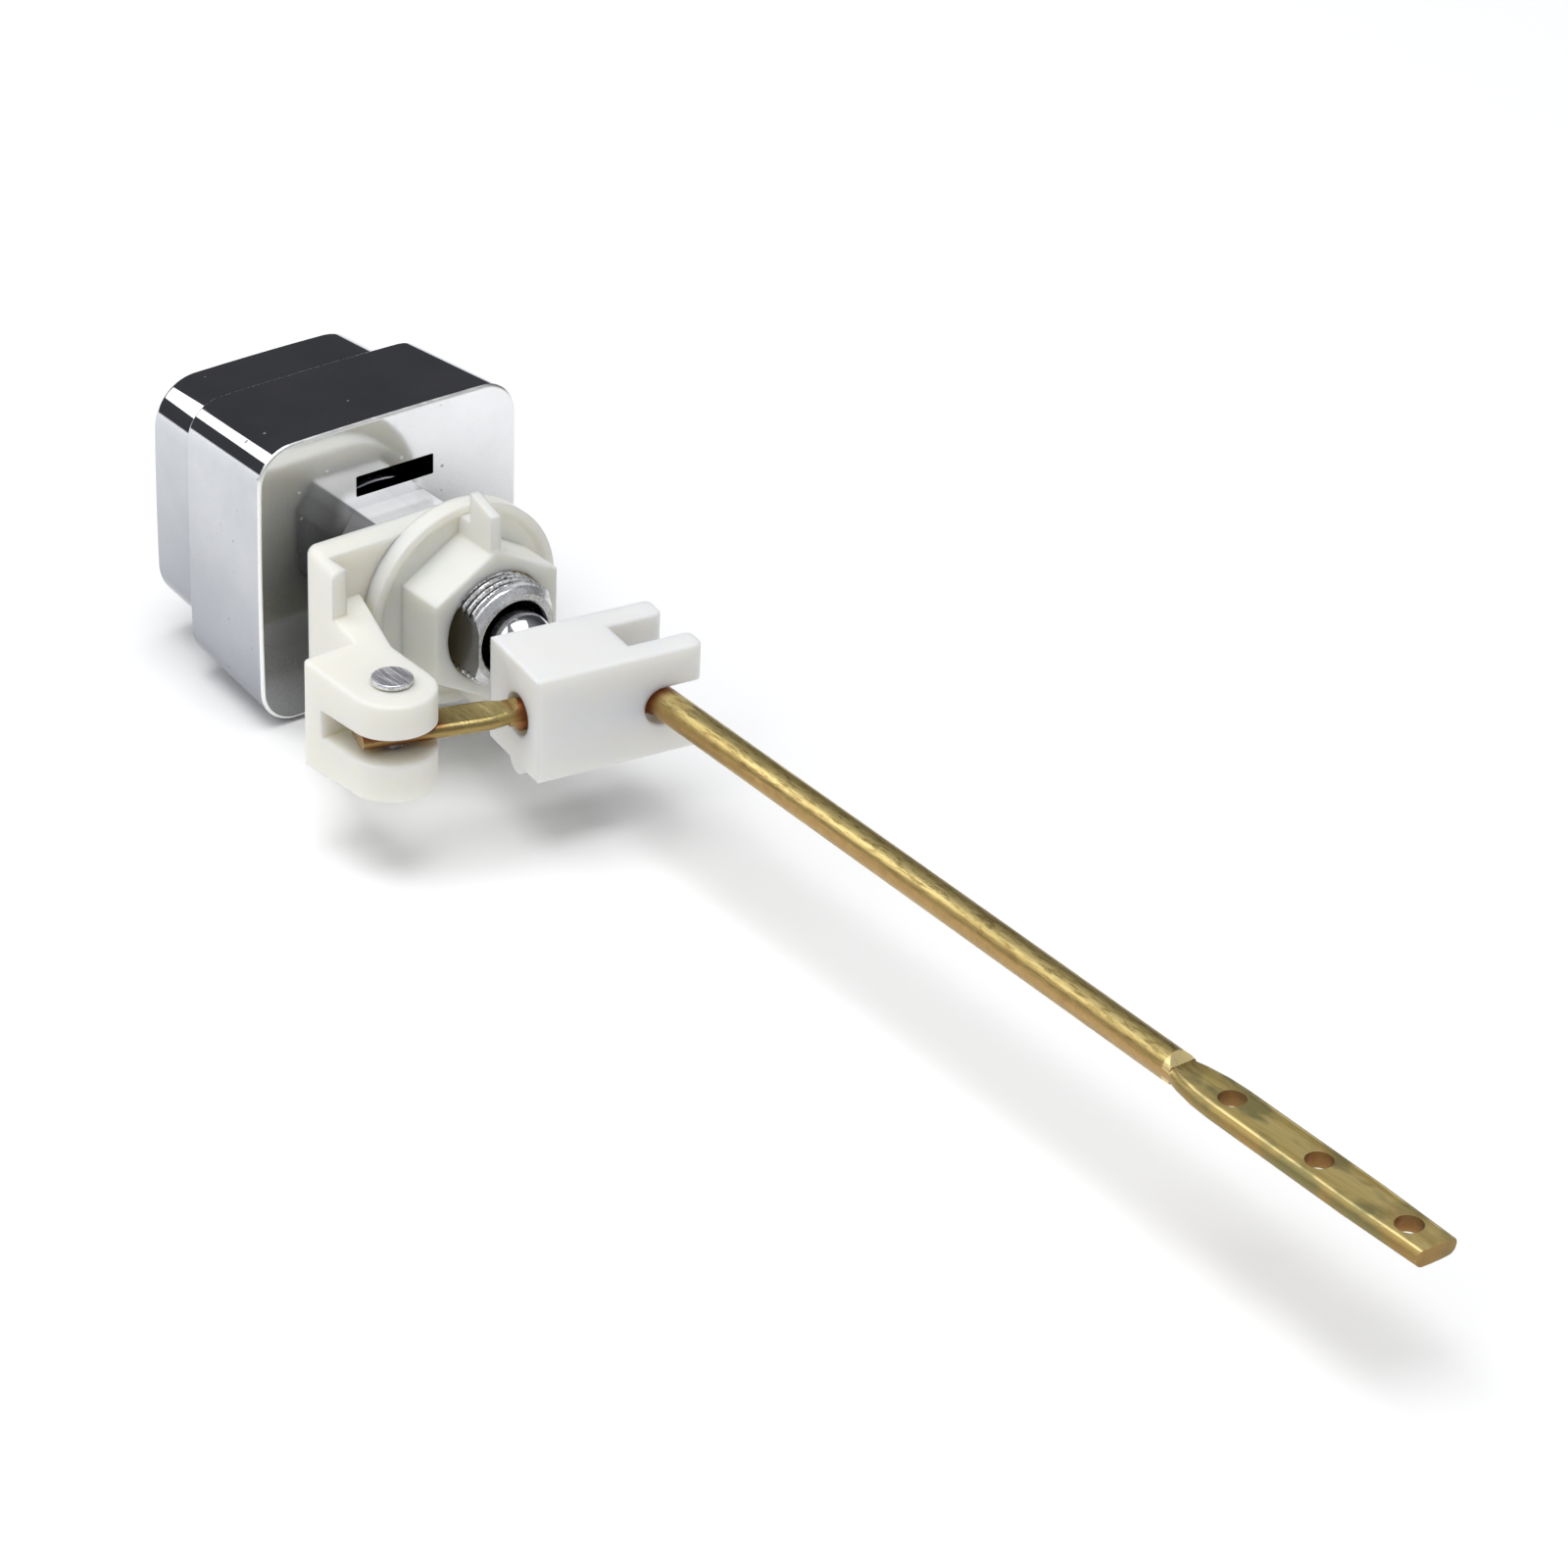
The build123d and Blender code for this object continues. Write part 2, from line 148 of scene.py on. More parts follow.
def bevel(piece, width, segments, angle):
    """A rounded edge in millimetres wherever faces meet above an angle.

    The clamp stays on: without it the edges of small faces turn into spikes.
    """
    modifier = piece.modifiers.new("edge", "BEVEL")
    modifier.width = width * MM
    modifier.segments = segments
    modifier.limit_method = "ANGLE"
    modifier.angle_limit = math.radians(angle)
    modifier.harden_normals = True
    modifier.use_clamp_overlap = True


def copied(name, node, material, width, segments=3, angle=COPY_EDGE_ANGLE):
    """A copy of a CAD node with its flat faces joined and its edges rounded."""
    source = nodes[node]
    work = bmesh.new()
    work.from_mesh(source.data)
    bmesh.ops.remove_doubles(work, verts=work.verts, dist=COPY_WELD * MM)
    bmesh.ops.dissolve_limit(
        work,
        angle_limit=math.radians(COPY_FLAT_ANGLE),
        verts=work.verts[:],
        edges=work.edges[:],
    )
    work.verts.index_update()
    points = [vertex.co.copy() for vertex in work.verts]
    faces = [[vertex.index for vertex in face.verts] for face in work.faces]
    work.free()
    mesh = bpy.data.meshes.new(name)
    mesh.from_pydata(points, [], faces)
    piece = finish_piece(name, mesh, [material], source["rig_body"], [node])
    smooth(piece, angle)
    bevel(piece, width, segments, angle)
    return piece


def lofted(rings, capped=True, closed=False):
    """Points and faces through rings of equal length.

    A closed loft joins its last ring to its first. An open one may be capped.
    """
    points = [point for ring in rings for point in ring]
    count = len(rings[0])
    faces = []
    rows = len(rings) if closed else len(rings) - 1
    for row in range(rows):
        for column in range(count):
            here = row * count + column
            beside = row * count + (column + 1) % count
            above = count if row < len(rings) - 1 else -row * count
            faces.append((here, beside, beside + above, here + above))
    if capped and not closed:
        last = (len(rings) - 1) * count
        faces.append(tuple(reversed(range(count))))
        faces.append(tuple(range(last, last + count)))
    return points, faces


def lathe(profile, count=LATHE_SIDES):
    """Rings about the push axis from (radius, y) pairs."""
    turns = [2 * math.pi * step / count for step in range(count)]
    rings = []
    for radius, y in profile:
        rings.append([(radius * math.cos(turn), y, radius * math.sin(turn)) for turn in turns])
    return rings


def cut_out(mesh, cutters):
    """A mesh less each of the closed cutter meshes."""
    scene_objects = bpy.context.scene.collection.objects
    body = bpy.data.objects.new("cut_body", mesh)
    scene_objects.link(body)
    tools = []
    for cutter in cutters:
        tool = bpy.data.objects.new("cut_tool", cutter)
        scene_objects.link(tool)
        tools.append(tool)
        modifier = body.modifiers.new("cut", "BOOLEAN")
        modifier.operation = "DIFFERENCE"
        modifier.solver = "EXACT"
        modifier.object = tool
    graph = bpy.context.evaluated_depsgraph_get()
    result = bpy.data.meshes.new_from_object(body.evaluated_get(graph))
    for item in [body] + tools:
        bpy.data.objects.remove(item)
    return result


# ---------------------------------------------------------------- node helpers

OCCLUSION_SAMPLES = 8
CORNER_SAMPLES = 6


class Look:
    """A small helper that builds a node material."""

    def __init__(self, name):
        self.material = bpy.data.materials.new(name)
        self.material.use_nodes = True
        self.tree = self.material.node_tree
        self.shader = self.tree.nodes["Principled BSDF"]
        self.coords = self.tree.nodes.new("ShaderNodeTexCoord")

    def set(self, **values):
        """Constants on the shader's own sockets."""
        for key, value in values.items():
            self.shader.inputs[key.replace("_", " ")].default_value = value

    def link(self, output, target):
        self.tree.links.new(output, target)

    def colour(self, output):
        self.link(output, self.shader.inputs["Base Color"])

    def rough(self, output):
        self.link(output, self.shader.inputs["Roughness"])

    def place(self, scale=(1, 1, 1), turn=(0, 0, 0)):
        """The surface's place, stretched and turned by degrees."""
        mapping = self.tree.nodes.new("ShaderNodeMapping")
        mapping.inputs["Scale"].default_value = scale
        mapping.inputs["Rotation"].default_value = [math.radians(angle) for angle in turn]
        self.link(self.coords.outputs["Object"], mapping.inputs["Vector"])
        return mapping.outputs["Vector"]

    def axes(self):
        """The surface's place along X, Y and Z, in metres."""
        parts = self.tree.nodes.new("ShaderNodeSeparateXYZ")
        self.link(self.coords.outputs["Object"], parts.inputs["Vector"])
        return [parts.outputs[axis] for axis in "XYZ"]

    def noise(self, scale, detail=4, rough=0.5, stretch=(1, 1, 1), turn=(0, 0, 0)):
        node = self.tree.nodes.new("ShaderNodeTexNoise")
        node.inputs["Scale"].default_value = scale
        node.inputs["Detail"].default_value = detail
        node.inputs["Roughness"].default_value = rough
        self.link(self.place(stretch, turn), node.inputs["Vector"])
        return node.outputs["Fac"]

    def dots(self, scale, radius, share):
        """1 inside a share of scattered round dots, 0 elsewhere."""
        node = self.tree.nodes.new("ShaderNodeTexVoronoi")
        node.inputs["Scale"].default_value = scale
        self.link(self.place(), node.inputs["Vector"])
        parts = self.tree.nodes.new("ShaderNodeSeparateColor")
        self.link(node.outputs["Color"], parts.inputs["Color"])
        limit = 1 - share
        chosen = self.ramp(parts.outputs["Red"], limit, limit + 0.01)
        near = self.ramp(node.outputs["Distance"], radius, radius * 0.5)
        return self.times(chosen, near)

    def ramp(self, value, low, high, start=0.0, end=1.0):
        """From start to end while the value goes from low to high."""
        node = self.tree.nodes.new("ShaderNodeMapRange")
        node.inputs["From Min"].default_value = low
        node.inputs["From Max"].default_value = high
        node.inputs["To Min"].default_value = start
        node.inputs["To Max"].default_value = end
        self.link(value, node.inputs["Value"])
        return node.outputs["Result"]

    def band(self, value, rise, fall):
        """1 between two values and 0 outside them, with a ramp at each end."""
        return self.times(self.ramp(value, *rise), self.ramp(value, *fall))

    def mixed(self, value, first, second):
        """The first colour where the value is 0 and the second where it is 1."""
        node = self.tree.nodes.new("ShaderNodeMix")
        node.data_type = "RGBA"
        for target, colour in ((node.inputs[6], first), (node.inputs[7], second)):
            if isinstance(colour, tuple):
                target.default_value = (*colour, 1)
            else:
                self.link(colour, target)
        self.link(value, node.inputs["Factor"])
        return node.outputs[2]

    def maths(self, kind, first, second=0.0):
        node = self.tree.nodes.new("ShaderNodeMath")
        node.operation = kind
        for target, value in ((node.inputs[0], first), (node.inputs[1], second)):
            if isinstance(value, (int, float)):
                target.default_value = value
            else:
                self.link(value, target)
        return node.outputs[0]

    def times(self, first, *others):
        for other in others:
            first = self.maths("MULTIPLY", first, other)
        return first

    def open_sky(self, distance):
        """1 on open surfaces and 0 deep in a corner, looking a distance in millimetres."""
        node = self.tree.nodes.new("ShaderNodeAmbientOcclusion")
        node.samples = OCCLUSION_SAMPLES
        node.inputs["Distance"].default_value = distance * MM
        return node.outputs["AO"]

    def inside_box(self, x_range, z_range, border=3.0):
        """1 inside a box in X and Z and 0 outside it, in millimetres, with soft borders."""
        x, _, z = self.axes()
        bands = []
        for place, (low, high) in ((x, x_range), (z, z_range)):
            rise = ((low - border) * MM, low * MM)
            fall = ((high + border) * MM, high * MM)
            bands.append(self.band(place, rise, fall))
        return self.times(*bands)

    def upward(self):
        """The size of the surface's Z direction: 1 on level faces, 0 on upright ones."""
        node = self.tree.nodes.new("ShaderNodeNewGeometry")
        parts = self.tree.nodes.new("ShaderNodeSeparateXYZ")
        self.link(node.outputs["Normal"], parts.inputs["Vector"])
        return self.maths("ABSOLUTE", parts.outputs["Z"])

    def rounded(self, radius):
        """The surface's direction with its corners softened, radius in millimetres."""
        node = self.tree.nodes.new("ShaderNodeBevel")
        node.samples = CORNER_SAMPLES
        node.inputs["Radius"].default_value = radius * MM
        return node.outputs["Normal"]

    def bump(self, height, strength, distance, below=None):
        """Relief on the surface, over an earlier one if given, distance in millimetres."""
        node = self.tree.nodes.new("ShaderNodeBump")
        node.inputs["Strength"].default_value = strength
        node.inputs["Distance"].default_value = distance * MM
        self.link(height, node.inputs["Height"])
        if below is not None:
            self.link(below, node.inputs["Normal"])
        self.link(node.outputs["Normal"], self.shader.inputs["Normal"])
        return node.outputs["Normal"]


# ---------------------------------------------------------------- materials


def chrome_look(name, dull, bright, haze, painted_shade_range, painted_shade_colour, brushed=0.05, unshaded_box=None):
    """Bright plating with faint waves, a few pits, fine scratches, and painted shade that
    darkens it near other surfaces and the floor.

    The last argument gives the X and Z ranges of a part where no shade is painted, in
    millimetres.
    """
    pit_grey = (0.60, 0.60, 0.62)
    shade_reach = 60
    scratch_haze = 0.06
    pit_haze = 0.45

    look = Look(name)
    look.set(Metallic=1.0)
    cloud = look.noise(scale=60, detail=5, rough=0.6)
    tint = look.mixed(look.ramp(cloud, 0.3, 0.7), dull, bright)
    pits = look.dots(scale=420, radius=0.15, share=0.20)
    tint = look.mixed(pits, tint, pit_grey)
    # Painted shade: the plating turns to the shade colour wherever other surfaces or the floor
    # lie close by, but not inside the given box.
    near = look.ramp(look.open_sky(shade_reach), *painted_shade_range)
    if unshaded_box:
        near = look.maths("MAXIMUM", near, look.inside_box(*unshaded_box))
    look.colour(look.mixed(near, painted_shade_colour, tint))
    lines = look.noise(scale=170, detail=2, rough=0.5, stretch=(1, 0.05, 0.6), turn=(8, 20, 35))
    scratch = look.ramp(lines, 0.62, 0.66)
    streak = look.noise(scale=420, detail=3, rough=0.6, stretch=(1, 1, 0.02))
    rough = look.ramp(cloud, 0.35, 0.7, haze * 0.7, haze * 1.4)
    rough = look.maths("ADD", rough, look.ramp(scratch, 0.0, 1.0, 0.0, scratch_haze))
    look.rough(look.maths("ADD", rough, look.ramp(pits, 0.0, 1.0, 0.0, pit_haze)))
    waves = look.bump(look.noise(scale=45, detail=2, rough=0.5), strength=0.10, distance=0.35)
    brush = look.bump(streak, strength=brushed, distance=0.015, below=waves)
    scratched = look.bump(scratch, strength=0.06, distance=0.01, below=brush)
    look.bump(pits, strength=0.7, distance=-0.05, below=scratched)
    return look.material


def neck_look():
    """Hazy plating on the neck, with painted light: a bright top and dark flanks."""
    painted_flank_shade = (0.15, 0.15, 0.15), (0.40, 0.40, 0.41)
    painted_top_light = (0.88, 0.89, 0.90), (1.0, 1.0, 1.0)

    look = Look("chrome_neck")
    look.set(Metallic=0.3)
    streak = look.noise(scale=300, detail=5, rough=0.7, stretch=(1, 0.05, 1))
    # Painted light: the flanks take the dark colours and the top the bright ones, by which way
    # each face turns.
    flank = look.mixed(streak, *painted_flank_shade)
    level = look.mixed(look.ramp(streak, 0.30, 0.55), *painted_top_light)
    look.colour(look.mixed(look.ramp(look.upward(), 0.75, 0.95), flank, level))
    look.rough(look.ramp(streak, 0.3, 0.7, 0.12, 0.24))
    look.bump(streak, strength=0.35, distance=0.06)
    return look.material


def edge_look(name, dull, bright, rough_range, strength, depth, detail):
    """Brighter metal along an edge, with a fine grain."""
    look = Look(name)
    look.set(Metallic=1.0)
    grain = look.noise(scale=900, detail=detail, rough=0.7)
    look.colour(look.mixed(grain, dull, bright))
    look.rough(look.ramp(grain, 0.3, 0.7, *rough_range))
    look.bump(grain, strength=strength, distance=depth)
    return look.material


def thread_look(root, crest, nose_y, flat):
    """Plated casting with bright crests and a rough skin, smooth on its flats, with painted
    shade in its thread roots and a painted dark reflection on its flats.
    """
    plate_colours = (0.85, 0.85, 0.86), (1.0, 1.0, 1.0)
    speck_black = (0.10, 0.10, 0.10)
    root_shade_black = (0.03, 0.03, 0.03)
    nose_grey = (0.82, 0.82, 0.83)
    flat_reflection_grey = (0.20, 0.20, 0.195)

    look = Look("chrome_thread")
    look.set(Metallic=0.85)
    x, y, z = look.axes()
    radius = look.maths("SQRT", look.maths("ADD", look.times(x, x), look.times(z, z)))
    on_crest = look.ramp(radius, root * MM, crest * MM)
    on_nose = look.ramp(y, (nose_y - 0.1) * MM, nose_y * MM)
    on_flat = look.ramp(look.maths("ABSOLUTE", x), (flat - 0.05) * MM, (flat - 0.02) * MM)
    off_flat = look.ramp(on_flat, 0.0, 1.0, 1.0, 0.0)
    grain = look.noise(scale=1300, detail=5, rough=0.75)
    speck = look.ramp(look.noise(scale=3000, detail=3, rough=0.65), 0.38, 0.46)
    tint = look.mixed(grain, *plate_colours)
    tint = look.mixed(speck, speck_black, tint)
    # Painted shade: the thread's roots turn near black.
    tint = look.mixed(on_crest, root_shade_black, tint)
    tint = look.mixed(on_nose, tint, nose_grey)
    # Painted reflection: the flats take a dark grey.
    look.colour(look.mixed(on_flat, tint, flat_reflection_grey))
    rough = look.ramp(grain, 0.3, 0.7, 0.16, 0.38)
    look.rough(look.times(rough, look.ramp(on_flat, 0.0, 1.0, 1.0, 0.5)))
    lumps = look.noise(scale=700, detail=3, rough=0.6)
    skin = look.bump(look.times(lumps, off_flat), strength=0.5, distance=0.12)
    look.bump(look.times(grain, off_flat), strength=0.6, distance=0.06, below=skin)
    return look.material


def steel_look(name, colour, rough, scratch):
    """Plain steel with a fine grain."""
    look = Look(name)
    look.set(Metallic=1.0)
    grain = look.noise(scale=500, detail=6, rough=0.7)
    dark = tuple(part * 0.72 for part in colour)
    look.colour(look.mixed(grain, dark, colour))
    look.rough(look.ramp(grain, 0.3, 0.8, rough * 0.7, rough * 1.5))
    look.bump(grain, strength=scratch, distance=0.04)
    return look.material


def scratched_look(name):
    """Dull steel crossed by fine scratches."""
    steel_colours = (0.50, 0.50, 0.54), (0.98, 0.98, 0.98)
    drawn_out = (1, 0.08, 1)

    look = Look(name)
    look.set(Metallic=0.75)
    one_way = look.noise(scale=1500, detail=4, rough=0.7, stretch=drawn_out, turn=(0, 0, 35))
    other_way = look.noise(scale=1500, detail=4, rough=0.7, stretch=drawn_out, turn=(0, 0, -50))
    crossed = look.maths("MAXIMUM", one_way, other_way)
    look.colour(look.mixed(look.ramp(crossed, 0.50, 0.66), *steel_colours))
    look.rough(look.ramp(crossed, 0.45, 0.7, 0.28, 0.50))
    look.bump(crossed, strength=0.5, distance=0.04)
    return look.material


def plastic_look(name, low, high, corner):
    """Moulded white plastic with a few moulding specks, and painted shade that browns it in its
    corners.
    """
    speck_brown = (0.45, 0.42, 0.36)
    shade_reach = 3
    corner_radius = 0.8

    look = Look(name)
    look.set(
        Subsurface_Weight=0.65,
        Subsurface_Scale=0.006,
        Subsurface_Radius=(1.0, 0.85, 0.6),
        IOR=1.5,
        Specular_IOR_Level=0.4,
    )
    cloud = look.noise(scale=55, detail=4, rough=0.55)
    tint = look.mixed(cloud, low, high)
    tint = look.mixed(look.dots(scale=260, radius=0.10, share=0.05), tint, speck_brown)
    # Painted shade: deep in corners and crevices the plastic takes the corner colour.
    near = look.ramp(look.open_sky(shade_reach), 0.0, 0.40)
    look.colour(look.mixed(near, corner, tint))
    look.rough(look.ramp(cloud, 0.3, 0.7, 0.32, 0.45))
    soft = look.bump(cloud, strength=0.15, distance=0.15, below=look.rounded(corner_radius))
    fine = look.noise(scale=1500, detail=3, rough=0.6)
    look.bump(fine, strength=0.06, distance=0.03, below=soft)
    return look.material


def brass_look():
    """Drawn brass, gold on level faces, with painted shade: a darker brown on upright faces,
    darker still on the tail's sides, and dark red-brown in holes and crevices.

    Painted highlights run along the tail's top edge and over its shoulder. The tail has olive
    patches, the arm brown stains, and the bar in the clevis is a darker olive. Places along the
    arm are in metres.
    """
    tail_start = 0.1765, 0.181
    bar_end = 0.060, 0.054
    shoulder = (0.1749, 0.1751), (0.1769, 0.1767)
    gold_colours = (0.44, 0.33, 0.11), (0.76, 0.61, 0.26)
    upright_shade_colours = (0.30, 0.16, 0.05), (0.56, 0.38, 0.14)
    fleck_brown = (0.32, 0.23, 0.08)
    side_shade_brown = (0.34, 0.22, 0.07)
    painted_edge_highlight = (1.0, 0.84, 0.40)
    bar_olive = (0.28, 0.23, 0.09)
    tail_olive = (0.22, 0.21, 0.09)
    stain_brown = (0.30, 0.18, 0.07)
    hole_shade_brown = (0.24, 0.08, 0.025)
    painted_shoulder_highlight = (1.0, 0.80, 0.38)
    hole_shade_reach = 3
    tail_haze = 0.18

    look = Look("drawn_brass")
    look.set(Metallic=0.85)
    _, y, _ = look.axes()
    upward = look.upward()
    streak = look.noise(scale=420, detail=6, rough=0.75, stretch=(1, 0.03, 1))
    mottle = look.noise(scale=520, detail=5, rough=0.7)
    patch = look.noise(scale=230, detail=3, rough=0.55, stretch=(1, 0.45, 1))
    fine = look.noise(scale=2200, detail=4, rough=0.7, stretch=(1, 0.15, 1))
    tail = look.ramp(y, *tail_start)
    bar = look.ramp(y, *bar_end)

    gold = look.mixed(look.ramp(streak, 0.38, 0.62), *gold_colours)
    fleck = look.maths("MAXIMUM", look.ramp(fine, 0.36, 0.52), tail)
    gold = look.mixed(fleck, fleck_brown, gold)
    upright_shade = look.mixed(mottle, *upright_shade_colours)
    # Painted shade: upright faces take the darker brown and level ones the gold.
    tint = look.mixed(look.ramp(upward, 0.20, 0.75), upright_shade, gold)
    # Painted shade: the tail's upright sides turn a darker brown.
    flank = look.times(look.ramp(upward, 0.985, 0.90), tail)
    tint = look.mixed(look.times(flank, 0.6), tint, side_shade_brown)
    # Painted highlight: a bright gold line where the tail's top turns into its edge.
    rim = look.band(upward, (0.90, 0.95), (0.995, 0.98))
    tint = look.mixed(look.times(rim, tail), tint, painted_edge_highlight)
    tint = look.mixed(look.times(bar, 0.55), tint, bar_olive)
    dull = look.times(look.ramp(patch, 0.46, 0.60), tail)
    tint = look.mixed(look.times(dull, 0.75), tint, tail_olive)
    blots = look.noise(scale=170, detail=4, rough=0.7, stretch=(1, 0.35, 1))
    stain = look.ramp(blots, 0.56, 0.68)
    tint = look.mixed(look.times(stain, 0.45), tint, stain_brown)
    # Painted shade: holes and crevices turn dark red-brown.
    unshaded_part = look.ramp(look.open_sky(hole_shade_reach), 0.68, 0.92)
    tint = look.mixed(unshaded_part, hole_shade_brown, tint)
    # Painted highlight: the shoulder where the rod flattens into the tail is bright gold.
    shoulder_highlight = look.times(look.band(upward, (0.25, 0.45), (0.93, 0.85)), look.band(y, *shoulder))
    look.colour(look.mixed(shoulder_highlight, tint, painted_shoulder_highlight))

    rough = look.ramp(streak, 0.35, 0.65, 0.42, 0.26)
    look.rough(look.maths("ADD", rough, look.ramp(tail, 0.0, 1.0, 0.0, tail_haze)))
    streaks = look.bump(streak, strength=0.6, distance=0.07)
    mottles = look.bump(mottle, strength=0.35, distance=0.06, below=streaks)
    look.bump(fine, strength=0.8, distance=0.04, below=mottles)
    return look.material


# The housing's sides and back are one plating in two tones: the darker tone on the sides is
# painted shade, the brighter one on the back is painted light.
chrome = chrome_look(
    "chrome",
    dull=(0.57, 0.585, 0.61),
    bright=(0.71, 0.72, 0.745),
    haze=0.035,
    painted_shade_range=(0.42, 0.98),
    painted_shade_colour=(0.24, 0.25, 0.28),
)
chrome_back = chrome_look(
    "chrome_back",
    dull=(0.80, 0.81, 0.82),
    bright=(0.90, 0.90, 0.91),
    haze=0.10,
    painted_shade_range=(0.30, 0.72),
    painted_shade_colour=(0.20, 0.205, 0.20),
    brushed=0.25,
    # No shade is painted round the window and the top of the neck.
    unshaded_box=((-4.5, 8.0), (8.5, 11.5)),
)
chrome_neck = neck_look()
chrome_edge = edge_look(
    "chrome_edge",
    dull=(0.80, 0.80, 0.78),
    bright=(0.97, 0.97, 0.96),
    rough_range=(0.28, 0.5),
    strength=0.5,
    depth=0.05,
    detail=5,
)
rod_steel = steel_look("rod_steel", (0.80, 0.80, 0.81), rough=0.13, scratch=0.15)
spring_steel = steel_look("spring_steel", (0.75, 0.76, 0.78), rough=0.22, scratch=0.1)
rivet_steel = scratched_look("rivet_steel")
# corner is the colour of the painted shade in the plastic's corners.
ivory = plastic_look(
    "moulded_ivory",
    low=(0.79, 0.775, 0.70),
    high=(0.83, 0.82, 0.76),
    corner=(0.74, 0.68, 0.50),
)
block_white = plastic_look(
    "moulded_white",
    low=(0.78, 0.78, 0.765),
    high=(0.82, 0.82, 0.81),
    corner=(0.70, 0.68, 0.60),
)
brass = brass_look()
brass_edge = edge_look(
    "brass_edge",
    dull=(0.85, 0.66, 0.26),
    bright=(1.0, 0.86, 0.42),
    rough_range=(0.35, 0.6),
    strength=0.3,
    depth=0.03,
    detail=4,
)

# ---------------------------------------------------------------- housing

SEAT_WIDTH = 48.2
MOUTH_WIDTH = 45.6
HOUSING_CORNER = 6.2
HOUSING_CROWN = 0.3
SEAT_EDGE = 0.5
MOUTH_EDGE = 0.4
BOX_INSET = 0.01  # keeps the rim just inside the CAD box
NICK = 0.0011  # the deepest nick in the rim, as a share of the distance from the axis
NICK_SEED = 11
CAVITY_WIDTH = 41.6
CAVITY_CORNER = 8.2
CAVITY_CHAMFER = 0.15
FLOOR = 2.4
WINDOW_WIDTH = 14.4
WINDOW_HEIGHT = 3.5
WINDOW_CORNER = 0.2
WINDOW_CORNER_STEPS = 6
WINDOW_X = -1.0
WINDOW_Z = 13.25
BORE = 5.06
BORE_SIDES = 64
CUT_SPARE = 1  # how far a cutter goes past the floor on each side
CUTS_EXTENT = 17  # window and bore lie within this distance of the axis
BACK_FACING = 0.995  # how squarely a face of the back looks along the push axis
BACK_DEPTH = 0.1
SIDE_STEPS = 8
CORNER_STEPS = 24
EDGE_STEPS = 6

housing_low, housing_high = corners("housing")
mouth_y = housing_low[1]
shank_end = housing_high[1]
neck_end = corners("bracket")[0][1]


def crowned_ring(width, corner, crown, y):
    """Points round a square with bowed sides and round corners, across the push axis."""
    middle = width / 2
    end = middle - crown
    bow = (end * end + crown * crown) / (2 * crown)
    offset = bow - middle
    reach = bow - corner
    centre = (math.sqrt(2 * reach * reach - offset * offset) - offset) / 2
    tilt = math.atan2(centre, centre + offset)
    quarter = []
    for step in range(SIDE_STEPS):
        turn = tilt * step / SIDE_STEPS
        quarter.append((bow * math.sin(turn), bow * math.cos(turn) - offset))
    for step in range(CORNER_STEPS):
        turn = math.pi / 2 - tilt - (math.pi / 2 - 2 * tilt) * step / CORNER_STEPS
        quarter.append((centre + corner * math.cos(turn), centre + corner * math.sin(turn)))
    for step in range(SIDE_STEPS):
        turn = tilt * (1 - step / SIDE_STEPS)
        quarter.append((bow * math.cos(turn) - offset, bow * math.sin(turn)))
    ring = []
    for _ in range(4):
        ring += [(x, y, z) for x, z in quarter]
        quarter = [(z, -x) for x, z in quarter]
    return ring


def edge_rings(width, corner, crown, y, radius, inwards):
    """Rings round a rounded edge, from the side to the face at y."""
    rings = []
    for step in range(EDGE_STEPS + 1):
        turn = math.pi / 2 * step / EDGE_STEPS
        inset = radius * (1 - math.cos(turn))
        place = y + inwards * radius * (1 - math.sin(turn))
        rings.append(crowned_ring(width - 2 * inset, corner - inset, crown, place))
    return rings


def rounded_outline(points, radius, steps):
    """A convex outline in X and Z with its corners rounded."""
    outline = []
    for index, point in enumerate(points):
        here = Vector(point)
        back = (Vector(points[index - 1]) - here).normalized()
        ahead = (Vector(points[(index + 1) % len(points)]) - here).normalized()
        half = back.angle(ahead) / 2
        centre = here + (back + ahead).normalized() * radius / math.sin(half)
        start = here + back * radius / math.tan(half) - centre
        finish = here + ahead * radius / math.tan(half) - centre
        for step in range(steps + 1):
            share = step / steps
            spoke = (start * (1 - share) + finish * share).normalized() * radius
            outline.append(tuple(centre + spoke))
    return outline


def floor_cutter(name, outline):
    """A closed straight prism that goes right through the housing's floor."""
    rings = [[(x, y, z) for x, z in outline] for y in (-FLOOR - CUT_SPARE, CUT_SPARE)]
    return plain_mesh(name, *lofted(rings))


def cut_window_and_bore(mesh):
    """The housing's mesh with its window slot and its bore."""
    sides = [(1, 1), (1, -1), (-1, -1), (-1, 1)]
    points = [
        (WINDOW_X + across * WINDOW_WIDTH / 2, WINDOW_Z + up * WINDOW_HEIGHT / 2)
        for across, up in sides
    ]
    slot = rounded_outline(points, WINDOW_CORNER, WINDOW_CORNER_STEPS)
    turns = [2 * math.pi * step / BORE_SIDES for step in range(BORE_SIDES)]
    hole = [(BORE * math.cos(turn), BORE * math.sin(turn)) for turn in turns]
    return cut_out(mesh, [floor_cutter("window", slot), floor_cutter("bore", hole)])


